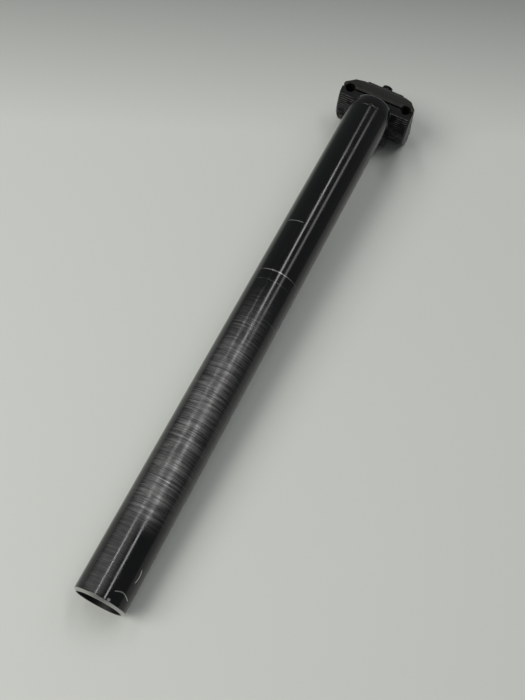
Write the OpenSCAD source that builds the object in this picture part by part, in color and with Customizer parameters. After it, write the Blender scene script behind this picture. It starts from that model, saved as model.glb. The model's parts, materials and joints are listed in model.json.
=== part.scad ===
// Seatpost with a laid-back head: a straight shank, a bonded head with a toothed cradle, and a
// two-piece rail clamp that one bolt holds from below.
// The post lies on its back: X runs across it, Y along it towards the head, and Z up out of
// its front side. The origin is on the shank's axis, at the minimum insertion depth.

/* [Shank] */
// Outside diameter of the shank
shank_d = 31.6; // [30:0.1:34]
// Wall thickness of the shank
shank_wall = 2.6; // [2:0.1:3.2]
// Length from the open end to the rim of the head
post_len = 390; // [250:1:450]
// Shank that has to stay inside the frame, measured from the open end
insert_min = 100; // [80:1:120]
// Width of the chamfer round the open end
end_chamfer = 1.5; // [0.5:0.1:1.8]

/* [Head] */
// Height of the shoulder between the shank and the rim of the head
shoulder_h = 10.5; // [8:0.5:14]
// Radius that the shoulder loses up to the rim
shoulder_in = 1.6; // [0.5:0.1:2.5]
// Depth of the spigot that is bonded into the shank
spigot_len = 45; // [35:1:60]
// Bore of the spigot
spigot_bore_d = 14; // [10:0.5:15]
// Distance of the tilt axis behind the axis of the shank
axis_back = 12; // [8:0.5:16]
// Height of the bottom of the cradle above the rim
cradle_rise = 3.3; // [2:0.1:6]
// Thickness of the cradle wall that the bolt clamps
cradle_wall = 5.5; // [4:0.5:6.5]
// Height of the rims that guide the curved washer under the cradle
track_rim = 1.2; // [0.6:0.2:1.6]
// Width of the neck and of the cradle
neck_w = 30; // [26:0.5:31]
// Angle from straight down to the rear edge of the cradle
cradle_rear_angle = 40; // [38:1:42]
// Angle from straight down to the front edge of the cradle
cradle_front_angle = 8; // [4:1:10]
// Width of the recess for the bolt head
recess_w = 17; // [16:0.5:18]
// Depth of the recess below the top of the shank
recess_len = 12; // [10:1:16]
// Bevel on each side of the joint line between shank and shoulder
joint_bevel = 0.3; // [0.1:0.1:0.5]

/* [Rail clamp] */
// Radius of the toothed underside of the lower clamp
rocker_r = 40; // [38:0.5:46]
// Length of the clamp along the saddle rails
clamp_len = 46; // [40:1:48]
// Width of the lower clamp across the rails
rocker_w = 56; // [53:1:62]
// Width of the upper clamp across the rails
upper_w = 55.4; // [53:0.1:62]
// Height of the front face of the lower clamp, up to the middle of the rails
rocker_front_h = 6.7; // [5:0.1:9]
// Height of the upper clamp at its ends, above the middle of the rails
upper_end_h = 2.8; // [2:0.1:4]
// Height of the upper clamp at its shoulders, above the middle of the rails
upper_shoulder_h = 10.7; // [9:0.1:12]
// Height of the upper clamp at its crown, above the middle of the rails
upper_crown_h = 14.5; // [13:0.1:17]
// Length of the slope between the front face and the shoulder of the upper clamp
upper_slope_len = 8; // [6:0.5:10]
// Distance between the centres of the two saddle rails
rail_spacing = 44; // [43:0.5:44.5]
// Diameter of a saddle rail
rail_d = 7; // [7:0.1:7.2]
// Gap between the two clamps along the rails
clamp_gap = 1; // [0.6:0.1:1.6]
// Bevel round the ends of the toothed underside
rocker_bevel = 1.5; // [0.8:0.1:2]
// Tilt of the clamp against the shank, which brings the rails level on the bicycle
clamp_tilt = 20; // [17:0.5:20]
// Tilt that the clamp can still move back, towards square with the shank
tilt_back = 10; // [5:1:10]
// Tilt that the clamp can still move on
tilt_on = 8; // [4:1:8]

/* [Teeth] */
// Depth of the teeth
tooth_depth = 0.6; // [0.3:0.1:0.8]
// Distance from tooth to tooth
tooth_pitch = 1.8; // [1.2:0.1:2.5]

/* [Bolt and washers] */
// Diameter of the bolt
bolt_d = 8; // [7:0.5:8]
// Diameter of the bolt's head
bolt_head_d = 13; // [12:0.5:14]
// Height of the bolt's head
bolt_head_h = 8; // [6:0.5:8.5]
// Size of the hexagon key, across its flats
hex_key = 6; // [5:1:6]
// Depth of the hexagon socket
hex_depth = 4.5; // [3:0.5:5]
// Length of the bolt that stands out above the nut plate
bolt_tip = 4.2; // [3:0.1:6]
// Diameter of the flat washer
washer_d = 15; // [14:0.5:15.5]
// Thickness of the flat washer
washer_h = 1.6; // [1:0.1:2]
// Thickness of the curved washer at its middle
curved_washer_h = 2.5; // [2:0.1:3]
// Length of the curved washer along the cradle
curved_washer_len = 16; // [14:1:16]
// Width of the nut plate across the rails
nut_w = 28.6; // [24:0.2:30]
// Length of the nut plate along the rails
nut_len = 13; // [12:1:16]
// Thickness of the nut plate
nut_h = 4; // [3:0.5:5]
// Depth of the nut plate's seat in the upper clamp
nut_seat = 2.1; // [1:0.1:2.5]

/* [Fits] */
// Gap between the teeth of the cradle and of the lower clamp
tooth_gap = 0.3; // [0.2:0.05:0.4]
// Radial clearance of the bolt's thread in the nut plate
thread_fit = 0.05; // [0.03:0.01:0.1]
// Radial clearance of the bolt in the clamps and in the cradle's slot
bolt_clear = 0.4; // [0.3:0.1:0.6]
// Clearance of the nut plate and the washers beside their seats
seat_clear = 0.3; // [0.2:0.1:0.5]

/* [Hidden] */
$fn = 96;

shank_r = shank_d / 2;
bore_r = shank_r - shank_wall;
rim_r = shank_r - shoulder_in;
end_y = -insert_min;
rim_y = end_y + post_len;
shank_top_y = rim_y - shoulder_h;

cradle_r = rocker_r + tooth_gap;
cradle_under_r = cradle_r + cradle_wall;
neck_under_r = cradle_under_r + track_rim;
axis_y = rim_y + cradle_rise + cradle_r;
axis_z = -axis_back;

// The recess is open to the back and clears the bolt head at its foremost tilt.
track_w = recess_w - 2 * seat_clear;
recess_front_z = -(shank_r - shank_wall) + 2;
slot_from = clamp_tilt - tilt_back - 0.5;
slot_to = clamp_tilt + tilt_on + 0.5;

// Heights inside the clamp are measured down from the tilt axis.
rocker_half_angle = asin(clamp_len / 2 / rocker_r);
rail_drop = rocker_r * cos(rocker_half_angle) - rocker_front_h;
rocker_top_drop = rail_drop + clamp_gap / 2;
upper_base_drop = rail_drop - clamp_gap / 2;
crown_drop = rail_drop - upper_crown_h;
nut_base_drop = crown_drop + nut_seat;
nut_top_drop = nut_base_drop - nut_h;
curved_washer_r = cradle_under_r + tooth_gap;
curved_washer_base = curved_washer_r + curved_washer_h;
bolt_seat_drop = curved_washer_base + washer_h;
bolt_len = bolt_seat_drop - nut_top_drop + bolt_tip;

far = 2 * post_len;
deep = 80;
eps = 0.01;

// Turns what is drawn along Z so that it lies along Y.
module along_y(y = 0) {
    translate([0, y, 0]) rotate([-90, 0, 0]) children();
}

// Extrudes a side outline, drawn as (Y, Z), across the post.
module across(width) {
    rotate([90, 0, 90]) linear_extrude(height = width, center = true) children();
}

// Moves to the tilt axis, with Y still along the post.
module at_axis() {
    translate([0, axis_y, axis_z]) children();
}

// Moves to the tilt axis and turns with the clamp: Y is then up the bolt, Z along the rails.
module at_clamp() {
    at_axis() rotate([clamp_tilt, 0, 0]) children();
}

// A point at a radius from the tilt axis, at an angle from straight down towards the front.
function arc_point(r, t) = [-r * cos(t), r * sin(t)];

// An even number of half teeth between two angles, so that the arc ends as it starts.
function half_teeth(r, from, to) = 2 * round(r * (to - from) * PI / 180 / tooth_pitch);

// A toothed arc: every second point lies at the second radius.
function toothed_arc(r_even, r_odd, from, to) =
    let (n = half_teeth(max(r_even, r_odd), from, to))
    [for (i = [0 : n]) arc_point(i % 2 == 0 ? r_even : r_odd, from + (to - from) * i / n)];

// The rounded side of the shoulder, from the shank up to the rim.
function shoulder_side(n = 6) =
    [for (i = [0 : n]) [
        shank_r - shoulder_in * pow(i / n, 2),
        joint_bevel + (shoulder_h - joint_bevel) * i / n
    ]];

// The round underside of the cradle, as a solid about the tilt axis.
module axis_disc(r) {
    at_axis() rotate([0, 90, 0]) cylinder(r = r, h = far, center = true);
}

// The recess behind the shank for the bolt head.
module recess() {
    recess_end_y = shank_top_y - recess_len + recess_w / 2;
    translate([0, 0, recess_front_z - deep]) {
        translate([-recess_w / 2, recess_end_y, 0]) cube([recess_w, deep, deep]);
        translate([0, recess_end_y, 0]) cylinder(r = recess_w / 2, h = deep);
    }
}

// Straight tube with a bare chamfered end, notched behind its top for the bolt head.
module shank_tube() {
    color([0.06, 0.06, 0.065]) difference() {
        along_y(end_y) rotate_extrude() polygon([
            [bore_r, end_chamfer / 2],
            [bore_r + end_chamfer / 2, 0],
            [shank_r - end_chamfer, 0],
            [shank_r, end_chamfer],
            [shank_r, post_len - shoulder_h - joint_bevel],
            [shank_r - joint_bevel, post_len - shoulder_h],
            [bore_r, post_len - shoulder_h]
        ]);
        recess();
    }
}

// Neck that carries the cradle behind and above the shoulder.
module neck() {
    at_axis() intersection() {
        across(neck_w) polygon([
            [0, 0],
            arc_point(far, -cradle_rear_angle),
            arc_point(far, cradle_front_angle)
        ]);
        rotate([0, 90, 0]) cylinder(r = neck_under_r, h = far, center = true);
    }
    gusset_foot = -shank_r;
    gusset_back = arc_point(cradle_under_r, -cradle_rear_angle * 0.8);
    across(neck_w) polygon([
        [shank_top_y, 0],
        [shank_top_y, gusset_foot],
        [axis_y + gusset_back[0], axis_z + gusset_back[1]],
        [rim_y + cradle_rise, axis_z],
        [rim_y, 0]
    ]);
}

// Slope from the rim back to the front edge of the cradle, as round as the rim.
module brow() {
    front = arc_point(cradle_r, cradle_front_angle);
    intersection() {
        across(far) polygon([
            [rim_y - 1, axis_z + front[1] - 1],
            [axis_y + front[0], axis_z + front[1] - 1],
            [axis_y + front[0], axis_z + front[1]],
            [rim_y, rim_r],
            [rim_y - 1, rim_r]
        ]);
        along_y(end_y) cylinder(r = rim_r, h = far);
    }
}

// Slot in the cradle along which the bolt swings with the clamp.
module bolt_slot() {
    slot_r = bolt_d / 2 + bolt_clear;
    end_angle = asin(slot_r / rocker_r);
    across(2 * slot_r) polygon([
        [0, 0],
        arc_point(deep, -slot_to - end_angle),
        arc_point(deep, -slot_from + end_angle)
    ]);
}

// Head casting: shoulder, neck, toothed cradle with a slot for the bolt, and bonded spigot.
module head_casting() {
    color([0.05, 0.05, 0.055]) difference() {
        union() {
            along_y(shank_top_y) rotate_extrude() polygon(concat(
                [[0, 0], [shank_r - joint_bevel, 0]],
                shoulder_side(),
                [[0, shoulder_h]]
            ));
            neck();
            brow();
            along_y(shank_top_y - spigot_len) cylinder(r = bore_r, h = spigot_len + eps);
        }
        at_axis() {
            across(far) polygon(concat(
                toothed_arc(cradle_r, cradle_r + tooth_depth, -80, 60),
                [[deep, deep], [deep, -deep]]
            ));
            bolt_slot();
        }
        difference() {
            recess();
            axis_disc(cradle_under_r);
        }
        along_y(shank_top_y - spigot_len - eps) cylinder(d = spigot_bore_d, h = spigot_len);
    }
}

// The two rail grooves, along the clamp.
module rail_grooves() {
    for (side = [-1, 1]) {
        translate([side * rail_spacing / 2, -rail_drop, 0]) {
            cylinder(d = rail_d, h = far, center = true);
        }
    }
}

// The bolt's hole through both clamps.
module bolt_hole() {
    rotate([90, 0, 0]) cylinder(r = bolt_d / 2 + bolt_clear, h = far, center = true);
}

// Lower clamp: a rocker with a toothed round underside and bevelled ends.
module rocker() {
    half_w = rocker_w / 2;
    bevel_x = half_w - rocker_bevel;
    color([0.09, 0.09, 0.10]) at_clamp() difference() {
        intersection() {
            across(rocker_w) polygon(concat(
                toothed_arc(rocker_r, rocker_r - tooth_depth, -rocker_half_angle, rocker_half_angle),
                [[-rocker_top_drop, clamp_len / 2], [-rocker_top_drop, -clamp_len / 2]]
            ));
            rotate([0, 90, 0]) rotate_extrude() polygon([
                [0, -half_w],
                [rocker_r - rocker_bevel, -half_w],
                [rocker_r + eps, -bevel_x],
                [rocker_r + eps, bevel_x],
                [rocker_r - rocker_bevel, half_w],
                [0, half_w]
            ]);
        }
        rail_grooves();
        bolt_hole();
    }
}

// Upper clamp: arched over the bolt, with bevelled ends and a seat for the nut plate.
module upper_clamp() {
    half_w = upper_w / 2;
    half_len = clamp_len / 2;
    shoulder_x = rail_spacing / 2 + 0.5;
    shoulder_z = half_len - upper_slope_len;
    crown_x = nut_w / 2 + 2.5;
    crown_z = nut_len / 2 + 2.5;
    end_y = upper_end_h - rail_drop;
    shoulder_y = upper_shoulder_h - rail_drop;
    color([0.30, 0.30, 0.29]) at_clamp() difference() {
        intersection() {
            across(upper_w) polygon([
                [-upper_base_drop, -half_len],
                [-upper_base_drop, half_len],
                [end_y, half_len],
                [shoulder_y, shoulder_z],
                [-crown_drop, crown_z],
                [-crown_drop, -crown_z],
                [shoulder_y, -shoulder_z],
                [end_y, -half_len]
            ]);
            linear_extrude(height = far, center = true) polygon([
                [-half_w, -upper_base_drop],
                [half_w, -upper_base_drop],
                [half_w, end_y],
                [shoulder_x, shoulder_y],
                [crown_x, -crown_drop],
                [-crown_x, -crown_drop],
                [-shoulder_x, shoulder_y],
                [-half_w, end_y]
            ]);
        }
        rail_grooves();
        bolt_hole();
        translate([-nut_w / 2 - seat_clear, -nut_base_drop, -nut_len / 2 - seat_clear]) {
            cube([nut_w + 2 * seat_clear, deep, nut_len + 2 * seat_clear]);
        }
    }
}

// Nut plate: a flat bar with the bolt's thread in its middle.
module nut_plate() {
    color([0.36, 0.36, 0.35]) at_clamp() difference() {
        translate([-nut_w / 2, -nut_base_drop, -nut_len / 2]) cube([nut_w, nut_h, nut_len]);
        rotate([90, 0, 0]) cylinder(r = bolt_d / 2 + thread_fit, h = far, center = true);
    }
}

// Socket head bolt, entered from below.
module clamp_bolt() {
    tip_bevel = 0.8;
    color([0.32, 0.32, 0.33]) at_clamp() translate([0, -bolt_seat_drop, 0]) difference() {
        along_y() rotate_extrude() polygon([
            [0, -bolt_head_h],
            [bolt_head_d / 2 - tip_bevel, -bolt_head_h],
            [bolt_head_d / 2, tip_bevel - bolt_head_h],
            [bolt_head_d / 2, 0],
            [bolt_d / 2, 0],
            [bolt_d / 2, bolt_len - tip_bevel],
            [bolt_d / 2 - tip_bevel, bolt_len],
            [0, bolt_len]
        ]);
        along_y(-bolt_head_h - eps) cylinder(d = hex_key / cos(30), h = hex_depth, $fn = 6);
    }
}

// Curved washer: rides round the underside of the cradle, flat below for the bolt.
module curved_washer() {
    color([0.45, 0.45, 0.45]) at_clamp() difference() {
        translate([-track_w / 2, -curved_washer_base, -curved_washer_len / 2]) {
            cube([track_w, curved_washer_base - rocker_r, curved_washer_len]);
        }
        rotate([0, 90, 0]) cylinder(r = curved_washer_r, h = far, center = true);
        bolt_hole();
    }
}

// Flat washer under the bolt's head.
module flat_washer() {
    color([0.55, 0.55, 0.55]) at_clamp() translate([0, -bolt_seat_drop, 0]) difference() {
        along_y() cylinder(d = washer_d, h = washer_h);
        bolt_hole();
    }
}

shank_tube();
head_casting();
rocker();
upper_clamp();
nut_plate();
clamp_bolt();
curved_washer();
flat_washer();
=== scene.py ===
"""Rigid bicycle seatpost lying on its back on a pale table: finishes, detailed pieces, light and camera."""

import json
import logging
import math
from collections.abc import Callable
from dataclasses import dataclass
from enum import Enum

import bmesh
import bpy
from mathutils import Matrix, Vector


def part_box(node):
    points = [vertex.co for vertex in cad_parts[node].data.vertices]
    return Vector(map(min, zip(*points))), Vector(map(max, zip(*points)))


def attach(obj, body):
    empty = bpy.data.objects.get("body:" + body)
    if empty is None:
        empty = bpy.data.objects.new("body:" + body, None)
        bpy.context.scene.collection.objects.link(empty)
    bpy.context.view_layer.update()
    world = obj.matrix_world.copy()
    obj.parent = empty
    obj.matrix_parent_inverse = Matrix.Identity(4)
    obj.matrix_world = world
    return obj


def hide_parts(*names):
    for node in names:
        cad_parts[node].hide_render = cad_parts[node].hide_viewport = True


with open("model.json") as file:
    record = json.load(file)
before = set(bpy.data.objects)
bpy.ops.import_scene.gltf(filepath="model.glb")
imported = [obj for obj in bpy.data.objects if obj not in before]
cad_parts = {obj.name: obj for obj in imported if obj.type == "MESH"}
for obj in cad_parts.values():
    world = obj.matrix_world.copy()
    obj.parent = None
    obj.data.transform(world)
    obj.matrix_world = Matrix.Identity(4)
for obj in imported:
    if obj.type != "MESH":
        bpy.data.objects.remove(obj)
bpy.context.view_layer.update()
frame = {"nodes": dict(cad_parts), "record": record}

LOG = logging.getLogger("seatpost")
MM = 0.001
# The head's rim stands this far above the top of the shank tube.
SHOULDER = 10.5 * MM
MERGE = 0.01 * MM
FINE_MERGE = 0.002 * MM
FLAT_ANGLE = math.radians(1.0)
FLAT_FACE_WEIGHT = 50
FACING = 0.99

# Socket numbers of a Mix node, whose inputs share their names.
FACTOR = 0
NUMBER_A = 2
NUMBER_B = 3
COLOUR_A = 6
COLOUR_B = 7
COLOUR_RESULT = 2


class Body(Enum):
    """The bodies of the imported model."""

    POST = "post"
    CRADLE = "cradle"
    BOLT = "bolt"
    TOP_CLAMP = "top_clamp"


class Slot(Enum):
    """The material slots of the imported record."""

    SHANK = "gloss_black_anodising"
    CASTING = "black_casting"
    ROCKER = "black_clamp"
    CLAMP = "worn_grey_clamp"
    BOLT = "bolt_steel"
    WASHER = "washer_steel"


def linear(hex_colour: str) -> tuple[float, float, float, float]:
    """Turns an sRGB hex value into a linear colour.

    Args:
        hex_colour: Six hex digits.

    Returns:
        Linear red, green and blue, and an alpha of 1.
    """
    channels = [int(hex_colour[i:i + 2], 16) / 255 for i in (0, 2, 4)]
    return (*[c / 12.92 if c <= 0.04045 else ((c + 0.055) / 1.055) ** 2.4 for c in channels], 1.0)


def add_node(tree: bpy.types.NodeTree, kind: str, settings: dict | None = None,
             links: dict | None = None) -> bpy.types.Node:
    """Adds a node with its settings and its links.

    Args:
        tree: The node tree.
        kind: The node's type.
        settings: Properties of the node, or values of its inputs, by name or number.
        links: The output that feeds each input, by name or number.

    Returns:
        The new node.
    """
    node = tree.nodes.new(kind)
    for key, value in (settings or {}).items():
        if isinstance(key, str) and hasattr(node, key):
            setattr(node, key, value)
        else:
            node.inputs[key].default_value = value
    for key, source in (links or {}).items():
        tree.links.new(source, node.inputs[key])
    return node


# ---------------------------------------------------------------- modelling helpers


def only(piece: bpy.types.Object) -> None:
    """Makes a piece the only selected and active object.

    Args:
        piece: The piece.
    """
    bpy.ops.object.select_all(action="DESELECT")
    piece.select_set(True)
    bpy.context.view_layer.objects.active = piece


def settle(piece: bpy.types.Object) -> None:
    """Moves a piece's place, turn and scale into its mesh."""
    only(piece)
    bpy.ops.object.transform_apply(location=True, rotation=True, scale=True)


def add_cylinder(radius: float, low: float, high: float, vertices: int,
                 caps: str = "NGON") -> bpy.types.Object:
    """Adds a cylinder along Z between two heights.

    Args:
        radius: Its radius in metres.
        low: Height of its lower end.
        high: Height of its upper end.
        vertices: Number of its sides.
        caps: How its ends are filled.

    Returns:
        The cylinder.
    """
    bpy.ops.object.select_all(action="DESELECT")
    bpy.ops.mesh.primitive_cylinder_add(vertices=vertices, radius=radius, depth=high - low,
                                        end_fill_type=caps, location=(0, 0, (low + high) / 2))
    piece = bpy.context.object
    settle(piece)
    return piece


def apply_modifier(piece: bpy.types.Object, kind: str, **settings: object) -> None:
    """Adds a modifier with its settings and applies it.

    Args:
        piece: The piece.
        kind: The modifier's type.
        settings: The modifier's properties.
    """
    modifier = piece.modifiers.new(kind.lower(), kind)
    for key, value in settings.items():
        setattr(modifier, key, value)
    only(piece)
    bpy.ops.object.modifier_apply(modifier=modifier.name)


def cut(piece: bpy.types.Object, cutter: bpy.types.Object) -> None:
    """Cuts a piece with another one, which is then deleted.

    Args:
        piece: The piece that is cut.
        cutter: The shape that is taken away.
    """
    apply_modifier(piece, "BOOLEAN", operation="DIFFERENCE", solver="EXACT", object=cutter)
    bpy.data.objects.remove(cutter, do_unlink=True)


def select_edges(piece: bpy.types.Object, test: Callable[[bmesh.types.BMEdge], bool]) -> int:
    """Selects the edges that pass a test, in edit mode.

    Args:
        piece: The piece in edit mode.
        test: Says of an edge whether it is wanted.

    Returns:
        The number of edges selected.
    """
    bpy.ops.mesh.select_mode(type="EDGE")
    bpy.ops.mesh.select_all(action="DESELECT")
    mesh = bmesh.from_edit_mesh(piece.data)
    wanted = [edge for edge in mesh.edges if test(edge)]
    for edge in wanted:
        edge.select_set(True)
    bmesh.update_edit_mesh(piece.data)
    return len(wanted)


def bevel_edges(piece: bpy.types.Object, width: float, segments: int,
                test: Callable[[bmesh.types.BMEdge], bool]) -> None:
    """Bevels the edges that pass a test.

    Args:
        piece: The piece.
        width: Width of the bevel in metres.
        segments: Its number of segments.
        test: Says of an edge whether it is wanted.
    """
    only(piece)
    bpy.ops.object.mode_set(mode="EDIT")
    if select_edges(piece, test):
        bpy.ops.mesh.bevel(offset=width, segments=segments, profile=0.5, affect="EDGES")
    bpy.ops.object.mode_set(mode="OBJECT")


def sharp(edge: bmesh.types.BMEdge, degrees: float = 35.0) -> bool:
    """Says whether an edge turns by more than an angle."""
    return len(edge.link_faces) == 2 and math.degrees(edge.calc_face_angle(0.0)) > degrees


def middle(edge: bmesh.types.BMEdge) -> Vector:
    """The middle of an edge."""
    return (edge.verts[0].co + edge.verts[1].co) / 2


def climb(edge: bmesh.types.BMEdge) -> float:
    """How far an edge climbs along Z."""
    return abs(edge.verts[0].co.z - edge.verts[1].co.z)


def smooth(piece: bpy.types.Object, degrees: float = 32.0) -> None:
    """Shades a piece smooth, with its sharper edges kept and its flat faces flat beside their bevels.

    Args:
        piece: The piece.
        degrees: The angle above which an edge stays sharp.
    """
    only(piece)
    bpy.ops.object.shade_smooth_by_angle(angle=math.radians(degrees))
    apply_modifier(piece, "WEIGHTED_NORMAL", keep_sharp=True, weight=FLAT_FACE_WEIGHT)


def outward(piece: bpy.types.Object) -> None:
    """Turns all faces of a closed piece outwards.

    Args:
        piece: The piece.
    """
    only(piece)
    bpy.ops.object.mode_set(mode="EDIT")
    bpy.ops.mesh.select_all(action="SELECT")
    bpy.ops.mesh.remove_doubles(threshold=FINE_MERGE)
    bpy.ops.mesh.normals_make_consistent(inside=False)
    bpy.ops.object.mode_set(mode="OBJECT")


def merged_copy(node: str, name: str) -> bpy.types.Object:
    """Copies a CAD node's mesh into a new piece, with its loose triangles merged into faces.

    Args:
        node: The CAD node.
        name: The new piece's name.

    Returns:
        The new piece.
    """
    source = frame["nodes"][node]
    mesh = source.data.copy()
    mesh.transform(source.matrix_world)
    mesh.materials.clear()
    piece = bpy.data.objects.new(name, mesh)
    bpy.context.collection.objects.link(piece)
    only(piece)
    bpy.ops.object.mode_set(mode="EDIT")
    bpy.ops.mesh.select_all(action="SELECT")
    bpy.ops.mesh.remove_doubles(threshold=MERGE)
    bpy.ops.mesh.dissolve_limited(angle_limit=FLAT_ANGLE)
    bpy.ops.object.mode_set(mode="OBJECT")
    return piece


def joined(parts: list[bpy.types.Object], name: str) -> bpy.types.Object:
    """Joins parts into one piece.

    Args:
        parts: The parts.
        name: The piece's name.

    Returns:
        The piece.
    """
    bpy.ops.object.select_all(action="DESELECT")
    for part in parts:
        part.select_set(True)
    bpy.context.view_layer.objects.active = parts[0]
    bpy.ops.object.join()
    piece = bpy.context.object
    piece.name = name
    return piece


@dataclass(frozen=True)
class ClampAxes:
    """Where the clamp sits: the tilt axis, and the directions up the bolt and along the rails."""

    centre: Vector
    up: Vector
    along: Vector

    @classmethod
    def from_frame(cls) -> "ClampAxes":
        """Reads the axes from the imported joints.

        Returns:
            The axes.
        """
        joints = {joint["name"]: joint for joint in frame["record"]["behaviour"]["joints"]}
        up = Vector(joints["clamp_lift"]["axis"]).normalized()
        across = Vector(joints["clamp_tilt"]["axis"]).normalized()
        return cls(Vector(joints["clamp_tilt"]["pos_m"]), up, across.cross(up).normalized())

    def matrix(self) -> Matrix:
        """The turn and place that bring Z up the bolt.

        Returns:
            The matrix, with the tilt axis at its origin.
        """
        across = self.up.cross(self.along)
        turn = Matrix((across, self.along, self.up)).transposed()
        return Matrix.Translation(self.centre) @ turn.to_4x4()

    def reach(self, node: str) -> tuple[float, float]:
        """Lowest and highest point of a CAD node along the bolt, measured from the tilt axis."""
        heights = [(v.co - self.centre).dot(self.up) for v in frame["nodes"][node].data.vertices]
        return min(heights), max(heights)

    def radius(self, node: str) -> float:
        """Greatest distance of a CAD node's points from the bolt's axis."""
        offsets = [v.co - self.centre for v in frame["nodes"][node].data.vertices]
        return max((offset - self.up * offset.dot(self.up)).length for offset in offsets)


# ---------------------------------------------------------------- finishes


@dataclass(frozen=True)
class Finish:
    """A surface finish: a shader with its even values, and what its pattern changes."""

    name: str
    colour: str
    roughness: float
    metallic: float = 0.0
    specular: float = 0.42

    def material(self) -> bpy.types.Material:
        """Makes the material.

        Returns:
            The material, with the pattern's nodes linked to its shader.
        """
        material = bpy.data.materials.new(self.name)
        material.use_nodes = True
        tree = material.node_tree
        shader = tree.nodes["Principled BSDF"]
        shader.inputs["Base Color"].default_value = linear(self.colour)
        shader.inputs["Roughness"].default_value = self.roughness
        shader.inputs["Metallic"].default_value = self.metallic
        shader.inputs["Specular IOR Level"].default_value = self.specular
        place = add_node(tree, "ShaderNodeTexCoord").outputs["Object"]
        self.pattern(tree, shader, place)
        return material

    def pattern(self, tree: bpy.types.NodeTree, shader: bpy.types.Node, place: bpy.types.NodeSocket) -> None:
        """Adds the nodes of the pattern.

        Args:
            tree: The node tree.
            shader: The surface shader.
            place: The place on the piece, in metres.
        """


@dataclass(frozen=True)
class BlastedMetal(Finish):
    """Blasted, forged or plated metal: mottled, with a fine grain that breaks up its gloss."""

    pale: str = "5d5b54"
    mottle_mm: float = 3.0
    grain_mm: float = 0.35
    grain_height_mm: float = 0.02
    spread: float = 0.12
    spots_from: float = 0.35
    spots_to: float = 0.7
    grain_strength: float = 0.5

    def pattern(self, tree: bpy.types.NodeTree, shader: bpy.types.Node, place: bpy.types.NodeSocket) -> None:
        """Mottles the colour and the roughness, and raises the grain.

        Args:
            tree: The node tree.
            shader: The surface shader.
            place: The place on the piece, in metres.
        """
        mottle = add_node(tree, "ShaderNodeTexNoise", {"Scale": 1 / (self.mottle_mm * MM), "Detail": 4.0},
                          {"Vector": place}).outputs["Fac"]
        spots = add_node(tree, "ShaderNodeMapRange",
                         {"From Min": self.spots_from, "From Max": self.spots_to}, {"Value": mottle})
        tint = add_node(tree, "ShaderNodeMix",
                        {"data_type": "RGBA", COLOUR_A: linear(self.colour), COLOUR_B: linear(self.pale)},
                        {FACTOR: spots.outputs["Result"]})
        tree.links.new(tint.outputs[COLOUR_RESULT], shader.inputs["Base Color"])
        rough = add_node(tree, "ShaderNodeMapRange",
                         {"To Min": self.roughness - self.spread, "To Max": self.roughness + self.spread},
                         {"Value": mottle})
        tree.links.new(rough.outputs["Result"], shader.inputs["Roughness"])
        grain = add_node(tree, "ShaderNodeTexNoise", {"Scale": 1 / (self.grain_mm * MM), "Detail": 2.0},
                         {"Vector": place}).outputs["Fac"]
        bump = add_node(tree, "ShaderNodeBump",
                        {"Strength": self.grain_strength, "Distance": self.grain_height_mm * MM},
                        {"Height": grain})
        tree.links.new(bump.outputs["Normal"], shader.inputs["Normal"])


@dataclass(frozen=True)
class PaintedRimHighlightCasting(BlastedMetal):
    """Painted casting whose rim band is paler: rub wear and a painted highlight of its rounded lip."""

    # The pale rim band, partly a painted highlight: its colour, its place along Y and its width.
    rubbed: str = "77797a"
    rim: float = 0.29
    rim_width_mm: float = 0.9

    def pattern(self, tree: bpy.types.NodeTree, shader: bpy.types.Node, place: bpy.types.NodeSocket) -> None:
        """Adds the casting's mottle, then pales its rim: rub wear and a painted highlight.

        Args:
            tree: The node tree.
            shader: The surface shader.
            place: The place on the piece, in metres.
        """
        super().pattern(tree, shader, place)
        axes = add_node(tree, "ShaderNodeSeparateXYZ", links={0: place})
        offset = add_node(tree, "ShaderNodeMath", {"operation": "SUBTRACT", 1: self.rim},
                          {0: axes.outputs["Y"]})
        distance = add_node(tree, "ShaderNodeMath", {"operation": "ABSOLUTE"}, {0: offset.outputs[0]})
        near = add_node(tree, "ShaderNodeMapRange", {"From Min": self.rim_width_mm * MM / 2, "From Max": 0.0},
                        {"Value": distance.outputs[0]})
        # Painted highlight with rub wear: the base colour turns pale in a thin band round the rim.
        plain = shader.inputs["Base Color"].links[0].from_socket
        tint = add_node(tree, "ShaderNodeMix", {"data_type": "RGBA", COLOUR_B: linear(self.rubbed)},
                        {FACTOR: near.outputs["Result"], COLOUR_A: plain})
        tree.links.new(tint.outputs[COLOUR_RESULT], shader.inputs["Base Color"])


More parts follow.
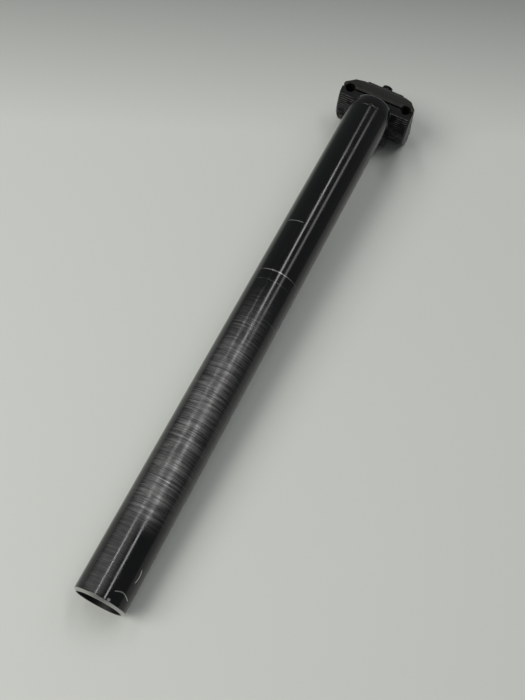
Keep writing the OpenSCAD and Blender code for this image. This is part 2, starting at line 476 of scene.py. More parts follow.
@dataclass(frozen=True)
class RubbedAnodising(Finish):
    """Black anodised aluminium whose tooth tips are rubbed through, round one axis."""

    bare: str = "8b8c8c"
    tip_radius: float = 0.04
    tip_depth_mm: float = 0.22
    axis: tuple[float, float] = (0.0, 0.0)
    grain_mm: float = 0.8
    grain_height_mm: float = 0.02
    grain_strength: float = 0.35
    cloud_mm: float = 4.0
    rubbed_from: float = 0.42
    rubbed_to: float = 0.6
    glossier: float = 0.1
    duller: float = 0.15

    def pattern(self, tree: bpy.types.NodeTree, shader: bpy.types.Node, place: bpy.types.NodeSocket) -> None:
        """Bares the metal at the tips of the teeth, in patches, and clouds the gloss.

        Args:
            tree: The node tree.
            shader: The surface shader.
            place: The place on the piece, in metres.
        """
        axes = add_node(tree, "ShaderNodeSeparateXYZ", links={0: place})
        back = add_node(tree, "ShaderNodeMath", {"operation": "SUBTRACT", 1: self.axis[0]},
                        {0: axes.outputs["Y"]})
        rise = add_node(tree, "ShaderNodeMath", {"operation": "SUBTRACT", 1: self.axis[1]},
                        {0: axes.outputs["Z"]})
        flat = add_node(tree, "ShaderNodeCombineXYZ", links={"X": back.outputs[0], "Y": rise.outputs[0]})
        radius = add_node(tree, "ShaderNodeVectorMath", {"operation": "LENGTH"}, {0: flat.outputs[0]})
        tips = add_node(tree, "ShaderNodeMapRange",
                        {"From Min": self.tip_radius - self.tip_depth_mm * MM, "From Max": self.tip_radius},
                        {"Value": radius.outputs["Value"]})
        cloud = add_node(tree, "ShaderNodeTexNoise", {"Scale": 1 / (self.cloud_mm * MM), "Detail": 5.0},
                         {"Vector": place})
        patches = add_node(tree, "ShaderNodeMapRange",
                           {"From Min": self.rubbed_from, "From Max": self.rubbed_to},
                           {"Value": cloud.outputs["Fac"]})
        worn = add_node(tree, "ShaderNodeMath", {"operation": "MULTIPLY"},
                        {0: tips.outputs["Result"], 1: patches.outputs["Result"]})
        tint = add_node(tree, "ShaderNodeMix",
                        {"data_type": "RGBA", COLOUR_A: linear(self.colour), COLOUR_B: linear(self.bare)},
                        {FACTOR: worn.outputs[0]})
        tree.links.new(tint.outputs[COLOUR_RESULT], shader.inputs["Base Color"])
        tree.links.new(worn.outputs[0], shader.inputs["Metallic"])
        rough = add_node(tree, "ShaderNodeMapRange",
                         {"To Min": self.roughness - self.glossier, "To Max": self.roughness + self.duller},
                         {"Value": cloud.outputs["Fac"]})
        tree.links.new(rough.outputs["Result"], shader.inputs["Roughness"])
        grain = add_node(tree, "ShaderNodeTexNoise", {"Scale": 1 / (self.grain_mm * MM)}, {"Vector": place})
        bump = add_node(tree, "ShaderNodeBump",
                        {"Strength": self.grain_strength, "Distance": self.grain_height_mm * MM},
                        {"Height": grain.outputs["Fac"]})
        tree.links.new(bump.outputs["Normal"], shader.inputs["Normal"])


@dataclass(frozen=True)
class SlidingWear(Finish):
    """Gloss black anodised aluminium, scratched round by a seat tube and bare at its chamfer."""

    bare: str = "b4b5b3"
    bare_roughness: float = 0.28
    end: float = -0.1
    bare_end_mm: float = 1.45
    bore_radius: float = 0.0132
    worn_from: float = -0.053
    worn_to: float = 0.126
    ring_width_mm: float = 0.45
    short_ring: float = 0.1676
    scratch_pitch_mm: float = 0.9
    scratch_run_mm: float = 30.0
    dulled_roughness: float = 0.36
    rear_wear: float = 0.16
    bore_skin_mm: tuple[float, float] = (0.5, 1.0)
    patch_mm: float = 14.0
    smear_mm: float = 9.0
    thins_from: float = 0.03
    haze: float = 0.07
    end_haze: float = 0.32
    end_haze_floor: float = 0.25
    wear_strength: float = 0.95
    ring_strength: float = 0.8
    short_ring_width_mm: float = 0.4
    line_core: float = 0.6
    line_edge: float = 1.6
    curl: float = 2.4
    curl_width_mm: float = 0.5
    scratch_width: float = 2.2
    cloud_from: float = 0.3
    cloud_to: float = 0.62
    cloud_floor: float = 0.35
    # Metres over which the worn areas fade in or out.
    fade_before: float = 0.008
    fade_after: float = 0.012
    end_fade: float = 0.004
    ring_fade: float = 0.003
    crisp: float = 0.001
    # Noise values where a scratch starts to show and where it is brightest.
    coarse_noise: tuple[float, float] = (0.44, 0.78)
    fine_noise: tuple[float, float] = (0.45, 0.85)
    sparse_noise: tuple[float, float] = (0.62, 0.7)
    # Spacing and length of the fine and the sparse scratches, against the coarse ones.
    fine_parts: tuple[float, float] = (2.5, 2.0)
    sparse_times: tuple[float, float] = (2.2, 3.0)
    ring_from: float = 0.25
    ring_to: float = 0.5
    ring_floor: float = 0.45
    ragged_mm: float = 0.5
    bare_fade_mm: tuple[float, float] = (0.1, 0.4)
    # Single marks: millimetres from the open end, and degrees round the shank from its front.
    curl_at_mm: float = 8.2
    curl_turn: float = 47.0
    curl_half_turn: float = 22.0
    curl_sway_mm: float = 1.1
    long_at_mm: float = 21.0
    long_turn: float = 63.0
    long_half_mm: float = 4.5
    long_bow: float = 5.0
    chip_at_mm: float = 2.4
    chip_width_mm: float = 1.2
    chip_turn: float = 24.0
    chip_arc: float = 5.0
    smear_from: float = 0.3
    smear_to: float = 0.75
    glossier: float = 0.03
    duller: float = 0.06
    bore_roughness: float = 0.5
    wear_bump: float = 0.25
    wear_depth_mm: float = 0.03
    # Degrees round the shank from its front, where wear rises, is full, and falls away again.
    worn_arc: tuple[float, ...] = (-44.0, -18.0, 6.0, 48.0)
    haze_arc: tuple[float, ...] = (-48.0, -24.0, -4.0, 14.0)
    short_ring_arc: tuple[float, ...] = (-48.0, -38.0, -12.0, 0.0)

    def window(self, tree: bpy.types.NodeTree, value: bpy.types.NodeSocket, points: tuple[float, ...],
               top: float = 1.0) -> bpy.types.NodeSocket:
        """A value that rises between the first two points and falls between the last two.

        Args:
            tree: The node tree.
            value: What is measured.
            points: Four rising values.
            top: The height between the middle two.

        Returns:
            The socket of the result.
        """
        rise = add_node(tree, "ShaderNodeMapRange",
                        {"interpolation_type": "SMOOTHSTEP", "From Min": points[0], "From Max": points[1],
                         "To Max": top}, {"Value": value})
        fall = add_node(tree, "ShaderNodeMapRange",
                        {"interpolation_type": "SMOOTHSTEP", "From Min": points[2], "From Max": points[3],
                         "To Min": 1.0, "To Max": 0.0}, {"Value": value})
        both = add_node(tree, "ShaderNodeMath", {"operation": "MULTIPLY"},
                        {0: rise.outputs["Result"], 1: fall.outputs["Result"]})
        return both.outputs[0]

    def line(self, tree: bpy.types.NodeTree, value: bpy.types.NodeSocket, at: float, width: float,
             top: float = 1.0) -> bpy.types.NodeSocket:
        """A thin line where a value is near a place.

        Args:
            tree: The node tree.
            value: What is measured.
            at: Where the line lies.
            width: Its width.
            top: Its strength.

        Returns:
            The socket of the result.
        """
        half = width / 2
        core = self.line_core * half
        edge = self.line_edge * half
        return self.window(tree, value, (at - edge, at - core, at + core, at + edge), top)

    def arc(self, tree: bpy.types.NodeTree, turn: bpy.types.NodeSocket,
            degrees: tuple[float, ...]) -> bpy.types.NodeSocket:
        """A window round the shank, between four angles in degrees."""
        return self.window(tree, turn, tuple(math.radians(angle) for angle in degrees))

    def greatest(self, tree: bpy.types.NodeTree, sockets: list[bpy.types.NodeSocket]) -> bpy.types.NodeSocket:
        """The greatest of several values.

        Args:
            tree: The node tree.
            sockets: The values.

        Returns:
            The socket of the result.
        """
        result = sockets[0]
        for socket in sockets[1:]:
            step = add_node(tree, "ShaderNodeMath", {"operation": "MAXIMUM"}, {0: result, 1: socket})
            result = step.outputs[0]
        return result

    def product(self, tree: bpy.types.NodeTree, sockets: list[bpy.types.NodeSocket]) -> bpy.types.NodeSocket:
        """The product of several values.

        Args:
            tree: The node tree.
            sockets: The values.

        Returns:
            The socket of the result.
        """
        result = sockets[0]
        for socket in sockets[1:]:
            step = add_node(tree, "ShaderNodeMath", {"operation": "MULTIPLY"}, {0: result, 1: socket})
            result = step.outputs[0]
        return result

    def streaks(self, tree: bpy.types.NodeTree, place: bpy.types.NodeSocket, pitch_mm: float, run_mm: float,
                low: float, high: float) -> bpy.types.NodeSocket:
        """Fine scratches that run round the shank.

        Args:
            tree: The node tree.
            place: The place on the piece.
            pitch_mm: Their spacing along the shank.
            run_mm: Their length round it.
            low: Noise value where a scratch starts to show.
            high: Noise value where it is at its brightest.

        Returns:
            The socket of the result.
        """
        along = 1 / (pitch_mm * MM)
        across = 1 / (run_mm * MM)
        stretch = add_node(tree, "ShaderNodeMapping", {"Scale": (across, along, across)}, {"Vector": place})
        noise = add_node(tree, "ShaderNodeTexNoise", {"Scale": 1.0, "Detail": 4.0, "Roughness": 0.65},
                         {"Vector": stretch.outputs["Vector"]})
        lines = add_node(tree, "ShaderNodeMapRange", {"From Min": low, "From Max": high},
                         {"Value": noise.outputs["Fac"]})
        return lines.outputs["Result"]

    def curled_scratch(self, tree: bpy.types.NodeTree, y: bpy.types.NodeSocket, turn: bpy.types.NodeSocket,
                       at: tuple[float, float], half_turn: float, sway_mm: float) -> bpy.types.NodeSocket:
        """One curled white scratch.

        Args:
            tree: The node tree.
            y: The place along the shank.
            turn: The angle round it, in radians from the front.
            at: Where its middle lies, along the shank in metres and round it in degrees.
            half_turn: Half of its length round the shank, in degrees.
            sway_mm: How far it sways along the shank.

        Returns:
            The socket of the result.
        """
        middle_turn = math.radians(at[1])
        reach = math.radians(half_turn)
        wave = add_node(tree, "ShaderNodeMath", {"operation": "MULTIPLY", 1: self.curl / reach}, {0: turn})
        sine = add_node(tree, "ShaderNodeMath", {"operation": "SINE"}, {0: wave.outputs[0]})
        sway = add_node(tree, "ShaderNodeMath", {"operation": "MULTIPLY_ADD", 1: sway_mm * MM},
                        {0: sine.outputs[0], 2: y})
        near = self.line(tree, sway.outputs[0], at[0], self.curl_width_mm * MM)
        span = self.window(tree, turn, (middle_turn - reach, middle_turn - 0.8 * reach,
                                        middle_turn + 0.8 * reach, middle_turn + reach))
        return self.product(tree, [near, span])

    def long_scratch(self, tree: bpy.types.NodeTree, y: bpy.types.NodeSocket, turn: bpy.types.NodeSocket,
                     at: tuple[float, float], half_length: float, bow: float) -> bpy.types.NodeSocket:
        """One bowed scratch that runs along the shank.

        Args:
            tree: The node tree.
            y: The place along the shank.
            turn: The angle round it, in radians from the front.
            at: Where its middle lies, along the shank in metres and round it in degrees.
            half_length: Half of its length in metres.
            bow: How far its ends lie back from its middle, in degrees.

        Returns:
            The socket of the result.
        """
        offset = add_node(tree, "ShaderNodeMath", {"operation": "SUBTRACT", 1: at[0]}, {0: y}).outputs[0]
        square = self.product(tree, [offset, offset])
        bend = math.radians(bow) / half_length ** 2
        bowed = add_node(tree, "ShaderNodeMath", {"operation": "MULTIPLY_ADD", 1: bend}, {0: square, 2: turn})
        near = self.line(tree, bowed.outputs[0], math.radians(at[1]), math.radians(self.scratch_width))
        span = self.window(tree, y, (at[0] - half_length, at[0] - 0.7 * half_length,
                                     at[0] + 0.7 * half_length, at[0] + half_length))
        return self.product(tree, [near, span])

    def pattern(self, tree: bpy.types.NodeTree, shader: bpy.types.Node, place: bpy.types.NodeSocket) -> None:
        """Wears the black through in rings and fine scratches, and bares the chamfered end.

        Args:
            tree: The node tree.
            shader: The surface shader.
            place: The place on the piece, in metres.
        """
        axes = add_node(tree, "ShaderNodeSeparateXYZ", links={0: place})
        y = axes.outputs["Y"]
        turn = add_node(tree, "ShaderNodeMath", {"operation": "ARCTAN2"},
                        {0: axes.outputs["X"], 1: axes.outputs["Z"]}).outputs[0]
        round_flat = add_node(tree, "ShaderNodeCombineXYZ",
                              links={"X": axes.outputs["X"], "Y": axes.outputs["Z"]})
        radius = add_node(tree, "ShaderNodeVectorMath", {"operation": "LENGTH"},
                          {0: round_flat.outputs[0]}).outputs["Value"]
        outside = add_node(tree, "ShaderNodeMapRange",
                           {"From Min": self.bore_radius + self.bore_skin_mm[0] * MM,
                            "From Max": self.bore_radius + self.bore_skin_mm[1] * MM},
                           {"Value": radius}).outputs["Result"]
        patches = add_node(tree, "ShaderNodeTexNoise", {"Scale": 1 / (self.patch_mm * MM), "Detail": 3.0},
                           {"Vector": place}).outputs["Fac"]
        cloudy = add_node(tree, "ShaderNodeMapRange",
                          {"From Min": self.cloud_from, "From Max": self.cloud_to,
                           "To Min": self.cloud_floor},
                          {"Value": patches}).outputs["Result"]
        # The worn band is heaviest in its lower half and thins out towards its upper ring.
        front = self.arc(tree, turn, self.worn_arc)
        faced = add_node(tree, "ShaderNodeMapRange", {"To Min": self.rear_wear},
                         {"Value": front}).outputs["Result"]
        band = self.window(tree, y, (self.worn_from - self.fade_before, self.worn_from + self.fade_after,
                                     self.thins_from, self.worn_to))
        heavy = self.product(tree, [band, faced])
        light = self.window(tree, y, (self.worn_from - self.crisp, self.worn_from + self.crisp,
                                      self.worn_to - self.ring_fade, self.worn_to))
        coarse = self.streaks(tree, place, self.scratch_pitch_mm, self.scratch_run_mm, *self.coarse_noise)
        fine = self.streaks(tree, place, self.scratch_pitch_mm / self.fine_parts[0],
                            self.scratch_run_mm / self.fine_parts[1], *self.fine_noise)
        sparse = self.streaks(tree, place, self.scratch_pitch_mm * self.sparse_times[0],
                              self.scratch_run_mm * self.sparse_times[1], *self.sparse_noise)
        haze = add_node(tree, "ShaderNodeMath", {"operation": "MULTIPLY", 1: self.haze},
                        {0: cloudy}).outputs[0]
        hazy_end = self.product(tree, [
            self.window(tree, y, (self.end, self.end + self.end_fade, self.worn_from,
                                  self.worn_from + self.fade_after), self.end_haze),
            self.arc(tree, turn, self.haze_arc)])
        end_haze = add_node(tree, "ShaderNodeMath", {"operation": "ADD", 1: self.end_haze_floor},
                            {0: fine}).outputs[0]
        worn = self.greatest(tree, [
            self.product(tree, [heavy, cloudy, coarse]),
            self.product(tree, [heavy, fine]),
            self.product(tree, [heavy, haze]),
            self.product(tree, [light, sparse, faced]),
            self.product(tree, [hazy_end, end_haze]),
        ])
        toned = add_node(tree, "ShaderNodeMath", {"operation": "MULTIPLY", 1: self.wear_strength},
                         {0: worn}).outputs[0]
        uneven = add_node(tree, "ShaderNodeMapRange",
                          {"From Min": self.ring_from, "From Max": self.ring_to, "To Min": self.ring_floor},
                          {"Value": patches}).outputs["Result"]
        short_span = self.arc(tree, turn, self.short_ring_arc)
        end_edge = add_node(tree, "ShaderNodeMath", {"operation": "MULTIPLY_ADD", 1: self.ragged_mm * MM},
                            {0: patches, 2: y})
        bare_end = add_node(tree, "ShaderNodeMapRange",
                            {"From Min": self.end + (self.bare_end_mm + self.bare_fade_mm[0]) * MM,
                             "From Max": self.end + (self.bare_end_mm + self.bare_fade_mm[1]) * MM,
                             "To Min": 1.0, "To Max": 0.0},
                            {"Value": end_edge.outputs[0]}).outputs["Result"]
        ring = self.line(tree, y, self.worn_to, self.ring_width_mm * MM, self.ring_strength)
        part_ring = self.line(tree, y, self.short_ring, self.short_ring_width_mm * MM, self.ring_strength)
        marks = self.greatest(tree, [
            self.product(tree, [ring, uneven, faced]),
            self.product(tree, [part_ring, short_span]),
            self.curled_scratch(tree, y, turn, (self.end + self.curl_at_mm * MM, self.curl_turn),
                                self.curl_half_turn, self.curl_sway_mm),
            self.long_scratch(tree, y, turn, (self.end + self.long_at_mm * MM, self.long_turn),
                              self.long_half_mm * MM, self.long_bow),
            self.product(tree, [
                self.line(tree, y, self.end + self.chip_at_mm * MM, self.chip_width_mm * MM),
                self.line(tree, turn, math.radians(self.chip_turn), math.radians(self.chip_arc))]),
            bare_end,
        ])
        bared = self.product(tree, [self.greatest(tree, [toned, marks]), outside])
        tint = add_node(tree, "ShaderNodeMix",
                        {"data_type": "RGBA", COLOUR_A: linear(self.colour), COLOUR_B: linear(self.bare)},
                        {FACTOR: bared})
        tree.links.new(tint.outputs[COLOUR_RESULT], shader.inputs["Base Color"])
        tree.links.new(bared, shader.inputs["Metallic"])
        smear = add_node(tree, "ShaderNodeTexNoise", {"Scale": 1 / (self.smear_mm * MM), "Detail": 5.0},
                         {"Vector": place})
        gloss = add_node(tree, "ShaderNodeMapRange",
                         {"From Min": self.smear_from, "From Max": self.smear_to,
                          "To Min": self.roughness - self.glossier, "To Max": self.roughness + self.duller},
                         {"Value": smear.outputs["Fac"]}).outputs["Result"]
        dull = self.product(tree, [heavy, cloudy])
        rubbed = add_node(tree, "ShaderNodeMix", {"data_type": "FLOAT", NUMBER_B: self.dulled_roughness},
                          {FACTOR: dull, NUMBER_A: gloss}).outputs[0]
        in_bore = add_node(tree, "ShaderNodeMix", {"data_type": "FLOAT", NUMBER_A: self.bore_roughness},
                           {FACTOR: outside, NUMBER_B: rubbed}).outputs[0]
        rough = add_node(tree, "ShaderNodeMix", {"data_type": "FLOAT", NUMBER_B: self.bare_roughness},
                         {FACTOR: bared, NUMBER_A: in_bore}).outputs[0]
        tree.links.new(rough, shader.inputs["Roughness"])
        depth = add_node(tree, "ShaderNodeMath", {"operation": "MULTIPLY", 1: -1.0}, {0: bared})
        bump = add_node(tree, "ShaderNodeBump",
                        {"Strength": self.wear_bump, "Distance": self.wear_depth_mm * MM},
                        {"Height": depth.outputs[0]})
        tree.links.new(bump.outputs["Normal"], shader.inputs["Normal"])


@dataclass(frozen=True)
class TableTop(Finish):
    """Pale laminate: even and dull, with painted shade that makes it a little darker far away from the
    middle.
    """

    # Painted shade: its colour, the way it deepens along, and where it starts and is full.
    far: str = "8c8f8c"
    painted_shade_way: tuple[float, float, float] = (-0.464, 0.886, 0.0)
    painted_shade_from: float = 0.27
    painted_shade_to: float = 0.45
    cloud_mm: float = 60.0
    unevenness: float = 0.05

    def pattern(self, tree: bpy.types.NodeTree, shader: bpy.types.Node, place: bpy.types.NodeSocket) -> None:
        """Paints shade on the far side of the table, a little darker, and clouds it faintly.

        Args:
            tree: The node tree.
            shader: The surface shader.
            place: The place on the piece, in metres.
        """
        # Painted shade: the colour darkens towards the far side of the table.
        away = add_node(tree, "ShaderNodeVectorMath", {"operation": "DOT_PRODUCT", 1: self.painted_shade_way},
                        {0: place})
        painted_shade = add_node(tree, "ShaderNodeMapRange", {"From Min": self.painted_shade_from, "From Max": self.painted_shade_to},
                        {"Value": away.outputs["Value"]})
        tint = add_node(tree, "ShaderNodeMix",
                        {"data_type": "RGBA", COLOUR_A: linear(self.colour), COLOUR_B: linear(self.far)},
                        {FACTOR: painted_shade.outputs["Result"]})
        tree.links.new(tint.outputs[COLOUR_RESULT], shader.inputs["Base Color"])
        cloud = add_node(tree, "ShaderNodeTexNoise", {"Scale": 1 / (self.cloud_mm * MM), "Detail": 4.0},
                         {"Vector": place})
        rough = add_node(tree, "ShaderNodeMapRange",
                         {"To Min": self.roughness - self.unevenness,
                          "To Max": self.roughness + self.unevenness},
                         {"Value": cloud.outputs["Fac"]})
        tree.links.new(rough.outputs["Result"], shader.inputs["Roughness"])


# ---------------------------------------------------------------- sub-assemblies


@dataclass
class SubAssembly:
    """A group of pieces that ride on one body."""

    body: Body
    piece_count: int = 0

    def place(self, piece: bpy.types.Object, node: str, finish: bpy.types.Material, slot: Slot) -> None:
        """Dresses a piece, and puts it in the place of a CAD node.

        Args:
            piece: The finished piece.
            node: The CAD node that it stands for.
            finish: Its material.
            slot: Its slot in the record; not used.
        """
        piece.data.materials.clear()
        piece.data.materials.append(finish)
        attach(piece, self.body.value)
        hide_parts(node)
        self.piece_count += 1
        LOG.info("%s: %d faces on %s", piece.name, len(piece.data.polygons), self.body.value)

    def build(self, dressed: dict[Slot, bpy.types.Material]) -> None:
        """Builds and dresses the pieces; each sub-assembly has its own way."""
        raise NotImplementedError


@dataclass
class Post(SubAssembly):
    """The shank and the head casting."""

    wall: float = 2.6 * MM
    chamfer: float = 1.5 * MM
    soft_edge: float = 0.16 * MM
    notch_width: float = 17.0 * MM
    notch_depth: float = 12.0 * MM
    notch_front: float = -11.2 * MM
    sides: int = 256
    casting_smooth: float = 28.0

    def shank(self) -> bpy.types.Object:
        """Models the shank: a walled tube with a chamfered end and a notch behind its top.

        Returns:
            The shank.
        """
        low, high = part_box("shank_tube")
        tube = add_cylinder(high.x, low.y, high.y, self.sides, caps="NOTHING")
        tube.name = "shank"
        apply_modifier(tube, "SOLIDIFY", thickness=self.wall, offset=-1.0, use_even_offset=True)
        rim = high.x - self.soft_edge
        bevel_edges(tube, self.chamfer, 1, lambda e: middle(e).z < low.y + self.soft_edge
                    and middle(e).xy.length > rim and climb(e) < self.soft_edge)
        bevel_edges(tube, self.soft_edge, 2, sharp)
        only(tube)
        bpy.ops.object.mode_set(mode="EDIT")
        # A loop close to each end keeps the shading straight along the long faces.
        for height in (low.y + self.chamfer + 3 * self.soft_edge, high.y - 4 * self.soft_edge):
            bpy.ops.mesh.select_all(action="SELECT")
            bpy.ops.mesh.bisect(plane_co=(0, 0, height), plane_no=(0, 0, 1))
        bpy.ops.object.mode_set(mode="OBJECT")
        tube.rotation_euler = (-math.pi / 2, 0, 0)
        settle(tube)
        cut(tube, self.notch(high.y))
        outward(tube)
        smooth(tube)
        return tube

    def notch(self, top: float) -> bpy.types.Object:
        """Models the cutter of the notch for the bolt head: a slab with one round end.

        Args:
            top: Where the shank ends, along Y.

        Returns:
            The cutter.
        """
        half = self.notch_width / 2
        deep = -30 * MM
        slab = add_cylinder(half, deep, self.notch_front, 96)
        only(slab)
        bpy.ops.object.mode_set(mode="EDIT")
        bpy.ops.mesh.select_all(action="SELECT")
        bpy.ops.mesh.bisect(plane_co=(0, 0, 0), plane_no=(0, 1, 0), use_fill=True, clear_outer=True)
        bpy.ops.mesh.select_mode(type="FACE")
        bpy.ops.mesh.select_all(action="DESELECT")
        mesh = bmesh.from_edit_mesh(slab.data)
        mesh.normal_update()
        for face in mesh.faces:
            face.select_set(face.normal.y > FACING)
        bmesh.update_edit_mesh(slab.data)
        bpy.ops.mesh.extrude_region_move(TRANSFORM_OT_translate={"value": (0, 2 * self.notch_depth, 0)})
        bpy.ops.object.mode_set(mode="OBJECT")
        slab.location = (0, top - self.notch_depth + half, 0)
        settle(slab)
        outward(slab)
        return slab

    def head(self) -> bpy.types.Object:
        """Models the head casting: the CAD shape, merged and shaded smooth.

        Returns:
            The casting.
        """
        casting = merged_copy("head_casting", "head")
        smooth(casting, self.casting_smooth)
        return casting

    def build(self, dressed: dict[Slot, bpy.types.Material]) -> None:
        """Builds and dresses the pieces."""
        self.place(self.shank(), "shank_tube", dressed[Slot.SHANK], Slot.SHANK)
        self.place(self.head(), "head_casting", dressed[Slot.CASTING], Slot.CASTING)


@dataclass
class Cradle(SubAssembly):
    """The lower clamp and the two washers that tilt with it."""

    broken_edge: float = 0.35 * MM
    washer_edge: float = 0.2 * MM
    rocker_sharp: float = 40.0
    rocker_smooth: float = 30.0
    washer_sharp: float = 50.0
    inside_teeth: float = 36.0 * MM

    def build(self, dressed: dict[Slot, bpy.types.Material]) -> None:
        """Builds and dresses the pieces.

        Args:
            dressed: A material for each slot.
        """
        rocker = merged_copy("rocker", "lower_clamp")
        axes = ClampAxes.from_frame()
        bevel_edges(rocker, self.broken_edge, 2, lambda e: sharp(e, self.rocker_sharp)
                    and (middle(e) - axes.centre).yz.length < self.inside_teeth)
        smooth(rocker, self.rocker_smooth)
        self.place(rocker, "rocker", dressed[Slot.ROCKER], Slot.ROCKER)
        for node in ("curved_washer", "flat_washer"):
            washer = merged_copy(node, node + "_finished")
            bevel_edges(washer, self.washer_edge, 2, lambda e: sharp(e, self.washer_sharp))
            smooth(washer)
            self.place(washer, node, dressed[Slot.WASHER], Slot.WASHER)


@dataclass
class TopClamp(SubAssembly):
    """The upper clamp and the nut plate in its seat."""

    broken_edge: float = 0.5 * MM
    plate_edge: float = 0.35 * MM
    arch_sharp: float = 25.0
    arch_smooth: float = 30.0
    plate_sharp: float = 50.0

    def build(self, dressed: dict[Slot, bpy.types.Material]) -> None:
        """Builds and dresses the pieces.

        Args:
            dressed: A material for each slot.
        """
        arch = merged_copy("upper_clamp", "upper_clamp_finished")
        bevel_edges(arch, self.broken_edge, 3, lambda e: sharp(e, self.arch_sharp))
        smooth(arch, self.arch_smooth)
        self.place(arch, "upper_clamp", dressed[Slot.CLAMP], Slot.CLAMP)
        plate = merged_copy("nut_plate", "nut_plate_finished")
        bevel_edges(plate, self.plate_edge, 3, lambda e: sharp(e, self.plate_sharp))
        smooth(plate)
        self.place(plate, "nut_plate", dressed[Slot.BOLT], Slot.CLAMP)


@dataclass
class Bolt(SubAssembly):
    """The clamp bolt: knurled head with a hexagon socket, plain shank and rolled thread."""

    pitch: float = 1.25 * MM
    head_height: float = 8.0 * MM
    key: float = 6.0 * MM
    key_depth: float = 4.5 * MM
    threaded: float = 22.0 * MM
    bolt_radius: float = 4.0 * MM
    flutes: int = 40
    flute_scale: float = 0.965
    edge: float = 0.5 * MM
    tip_edge: float = 0.8 * MM
    root_gap: float = 0.12 * MM
    thread_short: float = 0.6 * MM
    thread_steps: int = 48
    round_sides: int = 64
    smooth_angle: float = 28.0

    def head(self, low: float, radius: float) -> bpy.types.Object:
        """Models the knurled head with its socket.

        Args:
            low: Height of its underside.
            radius: Its radius.

        Returns:
            The head.
        """
        head = add_cylinder(radius, low, low + self.head_height, 2 * self.flutes)
        bevel_edges(head, self.edge, 2, lambda e: climb(e) < MERGE)
        only(head)
        bpy.ops.object.mode_set(mode="EDIT")
        step = 2 * math.pi / self.flutes
        select_edges(head, lambda e: climb(e) > self.head_height / 2
                     and round(math.atan2(middle(e).y, middle(e).x) / (step / 2)) % 2 == 0)
        bpy.ops.transform.resize(value=(self.flute_scale, self.flute_scale, 1.0),
                                 center_override=(0, 0, low + self.head_height / 2))
        bpy.ops.object.mode_set(mode="OBJECT")
        socket = add_cylinder(self.key / math.sqrt(3), low - 1 * MM, low + self.key_depth, 6)
        cut(head, socket)
        return head

    def thread(self, low: float, high: float) -> bpy.types.Object:
        """Models the thread: one tooth turned and lifted round the bolt.

        Args:
            low: Where it starts.
            high: Where it ends.

        Returns:
            The thread.
        """
        root = self.bolt_radius - self.pitch / 2
        bpy.ops.object.select_all(action="DESELECT")
        bpy.ops.mesh.primitive_circle_add(vertices=4, radius=self.pitch / 2, rotation=(math.pi / 2, 0, 0),
                                          location=(root, 0, low - self.pitch))
        thread = bpy.context.object
        settle(thread)
        only(thread)
        bpy.ops.object.mode_set(mode="EDIT")
        select_edges(thread, lambda e: middle(e).x < root)
        bpy.ops.mesh.delete(type="EDGE")
        bpy.ops.object.mode_set(mode="OBJECT")
        turns = math.ceil((high - low) / self.pitch) + 2
        apply_modifier(thread, "SCREW", axis="Z", angle=2 * math.pi, screw_offset=self.pitch,
                       iterations=turns, steps=self.thread_steps, render_steps=self.thread_steps,
                       use_merge_vertices=True)
        only(thread)
        bpy.ops.object.mode_set(mode="EDIT")
        for height, side in ((low, -1), (high, 1)):
            bpy.ops.mesh.select_all(action="SELECT")
            bpy.ops.mesh.bisect(plane_co=(0, 0, height), plane_no=(0, 0, side), use_fill=True,
                                clear_outer=True)
        bpy.ops.object.mode_set(mode="OBJECT")
        return thread

    def build(self, dressed: dict[Slot, bpy.types.Material]) -> None:
        """Builds and dresses the bolt.

        Args:
            dressed: A material for each slot.
        """
        axes = ClampAxes.from_frame()
        low, high = axes.reach("clamp_bolt")
        seat = low + self.head_height
        root = self.bolt_radius - self.pitch / 2
        head = self.head(low, axes.radius("clamp_bolt"))
        plain = add_cylinder(self.bolt_radius, seat - self.edge, high - self.threaded, self.round_sides)
        core = add_cylinder(root + self.root_gap, high - self.threaded - self.edge, high, self.round_sides)
        bevel_edges(core, self.tip_edge, 3, lambda e: middle(e).z > high - MERGE)
        thread = self.thread(high - self.threaded, high - self.thread_short)
        outward(thread)
        bolt = joined([head, plain, core, thread], "clamp_bolt_finished")
        bolt.matrix_world = axes.matrix()
        settle(bolt)
        smooth(bolt, self.smooth_angle)
        self.place(bolt, "clamp_bolt", dressed[Slot.BOLT], Slot.BOLT)


# ---------------------------------------------------------------- studio


@dataclass(frozen=True)
class Lamp:
    """A soft lamp, aimed at a point."""

    name: str
    start: tuple[float, float, float]
    end: tuple[float, float, float]
    width: float
    power: float
    colour: str = "ffffff"
    aim: tuple[float, float, float] = (0.0, 0.12, 0.0)

    def build(self) -> None:
        """Adds the lamp: a rectangle that reaches from its start to its end."""
        start, end = Vector(self.start), Vector(self.end)
        data = bpy.data.lights.new(self.name, "AREA")
        data.shape = "RECTANGLE"
        data.size = (end - start).length
        data.size_y = self.width
        data.energy = self.power
        data.color = linear(self.colour)[:3]
        lamp = bpy.data.objects.new(self.name, data)
        bpy.context.collection.objects.link(lamp)
        centre = (start + end) / 2
        length_axis = (end - start).normalized()
        back = (centre - Vector(self.aim)).normalized()
        back = (back - length_axis * back.dot(length_axis)).normalized()
        turn = Matrix((length_axis, back.cross(length_axis), back)).transposed()
        lamp.matrix_world = Matrix.Translation(centre) @ turn.to_4x4()


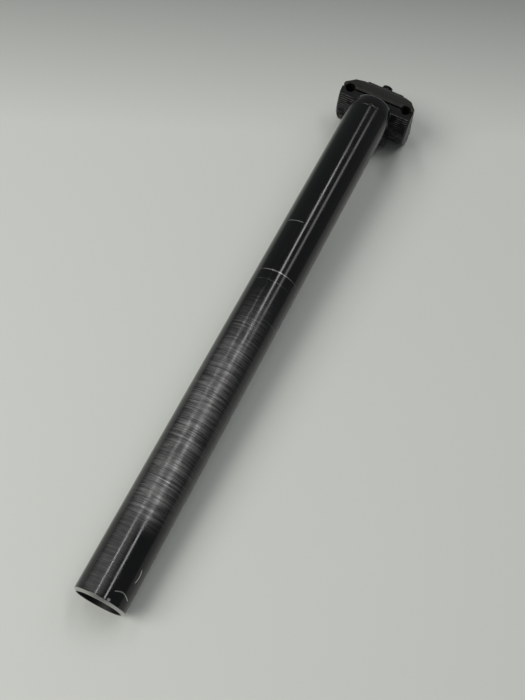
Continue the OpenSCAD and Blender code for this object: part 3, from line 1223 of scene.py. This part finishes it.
@dataclass(frozen=True)
class Studio:
    """The table, the lamps, the sky and the camera."""

    table_size: float = 8.0
    table_gap: float = 0.1 * MM
    sky: str = "9ea1a3"
    sky_strength: float = 0.5
    eye: tuple[float, float, float] = (0.0870, -0.1554, 0.5063)
    forward: tuple[float, float, float] = (-0.13132, 0.41695, -0.89940)
    upward: tuple[float, float, float] = (-0.41789, 0.79943, 0.43162)
    lens: float = 46.29
    sensor_height: float = 36.0
    lamps: tuple[Lamp, ...] = (
        Lamp("key", (-1.2, -0.5, 1.1), (-0.3, -0.7, 1.5), 0.8, 17.0, "fffdf8", (0.0, 0.1, 0.0)),
        Lamp("long_strip", (0.66, 0.0, 1.6), (-0.14, 1.45, 1.6), 0.14, 6.5),
        Lamp("far_strip", (-0.15, 1.47, 1.6), (-0.30, 1.9, 1.6), 0.14, 0.5),
        Lamp("left_strip", (-0.55, 0.0, 1.6), (-0.95, 1.0, 1.6), 0.10, 3.0),
        Lamp("broad_strip", (0.95, 0.85, 1.6), (0.84, 1.8, 1.6), 0.30, 2.4),
    )

    def table(self, finish: bpy.types.Material) -> None:
        """Lays the table against the two points that the post rests on.

        Args:
            finish: The table's material.
        """
        low_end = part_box("shank_tube")[0]
        corners = frame["nodes"]["rocker"].data.vertices
        heel = min(corners, key=lambda v: v.co.z).co
        tilt = math.atan2(low_end.z - heel.z, heel.y - low_end.y)
        bpy.ops.object.select_all(action="DESELECT")
        bpy.ops.mesh.primitive_plane_add(size=self.table_size, rotation=(-tilt, 0, 0))
        table = bpy.context.object
        table.name = "table"
        table.location = (0, 0, low_end.z + math.tan(tilt) * low_end.y - self.table_gap)
        settle(table)
        table.data.materials.append(finish)

    def world(self) -> None:
        """Makes the even sky."""
        world = bpy.data.worlds.new("sky")
        world.use_nodes = True
        background = world.node_tree.nodes["Background"]
        background.inputs["Color"].default_value = linear(self.sky)
        background.inputs["Strength"].default_value = self.sky_strength
        bpy.context.scene.world = world

    def camera(self) -> None:
        """Adds the camera."""
        data = bpy.data.cameras.new("camera")
        data.sensor_fit = "VERTICAL"
        data.sensor_height = self.sensor_height
        data.lens = self.lens
        camera = bpy.data.objects.new("camera", data)
        bpy.context.collection.objects.link(camera)
        back = -Vector(self.forward).normalized()
        right = Vector(self.upward).cross(back).normalized()
        camera.matrix_world = (Matrix.Translation(self.eye)
                               @ Matrix((right, back.cross(right), back)).transposed().to_4x4())
        bpy.context.scene.camera = camera

    def build(self) -> None:
        """Builds the studio."""
        self.table(TableTop("laminate", "c9ccc7", 0.55).material())
        self.world()
        for lamp in self.lamps:
            lamp.build()
        self.camera()
        bpy.context.scene.view_settings.view_transform = "Standard"


def finishes() -> dict[Slot, bpy.types.Material]:
    """Makes the materials of the record's slots.

    Returns:
        A material for each slot.
    """
    axis = ClampAxes.from_frame().centre
    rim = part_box("shank_tube")[1].y + SHOULDER
    return {
        # Anodised aluminium, polished before it was dyed: near black with a clear gloss.
        Slot.SHANK: SlidingWear("black_anodised_aluminium", "070808", 0.12).material(),
        # Cast aluminium, painted: gloss black, a little uneven, with rub wear and a painted highlight along
        # its rim.
        Slot.CASTING: PaintedRimHighlightCasting("painted_casting", "060707", 0.16, pale="0b0c0d", mottle_mm=5.0,
                                    grain_mm=1.6, grain_height_mm=0.02, spread=0.05, rim=rim).material(),
        # Forged aluminium, anodised black: satin, with rubbed tooth tips.
        Slot.ROCKER: RubbedAnodising("black_anodised_forging", "040405", 0.3, specular=0.22,
                                      axis=(axis.y, axis.z)).material(),
        # Forged aluminium, bead blasted and worn: dull grey-brown.
        Slot.CLAMP: BlastedMetal("blasted_forging", "11110f", 0.5, metallic=0.1, specular=0.28,
                                 pale="262521").material(),
        # Blackened steel, oiled: dark, with a soft metal gloss.
        Slot.BOLT: BlastedMetal("blackened_steel", "2c2d2d", 0.36, metallic=0.9, pale="444442",
                                mottle_mm=2.0).material(),
        # Zinc plated steel: pale and a little cloudy.
        Slot.WASHER: BlastedMetal("zinc_plated_steel", "8d8e8c", 0.32, metallic=1.0, pale="a6a6a2",
                                  mottle_mm=2.0).material(),
    }


def main() -> None:
    """Builds the seatpost and its studio."""
    logging.basicConfig(level=logging.INFO, format="%(name)s: %(message)s")
    Studio().build()
    dressed = finishes()
    groups = (Post(Body.POST), Cradle(Body.CRADLE), TopClamp(Body.TOP_CLAMP), Bolt(Body.BOLT))
    for group in groups:
        group.build(dressed)
        LOG.info("%s holds %d pieces", type(group).__name__, group.piece_count)
    slots = {part["node"]: part["material_slot"] for part in frame["record"]["subparts"]}
    for name, node in frame["nodes"].items():
        node.data.materials.clear()
        node.data.materials.append(dressed[Slot(slots[name])])


if __name__ == "__main__":
    main()
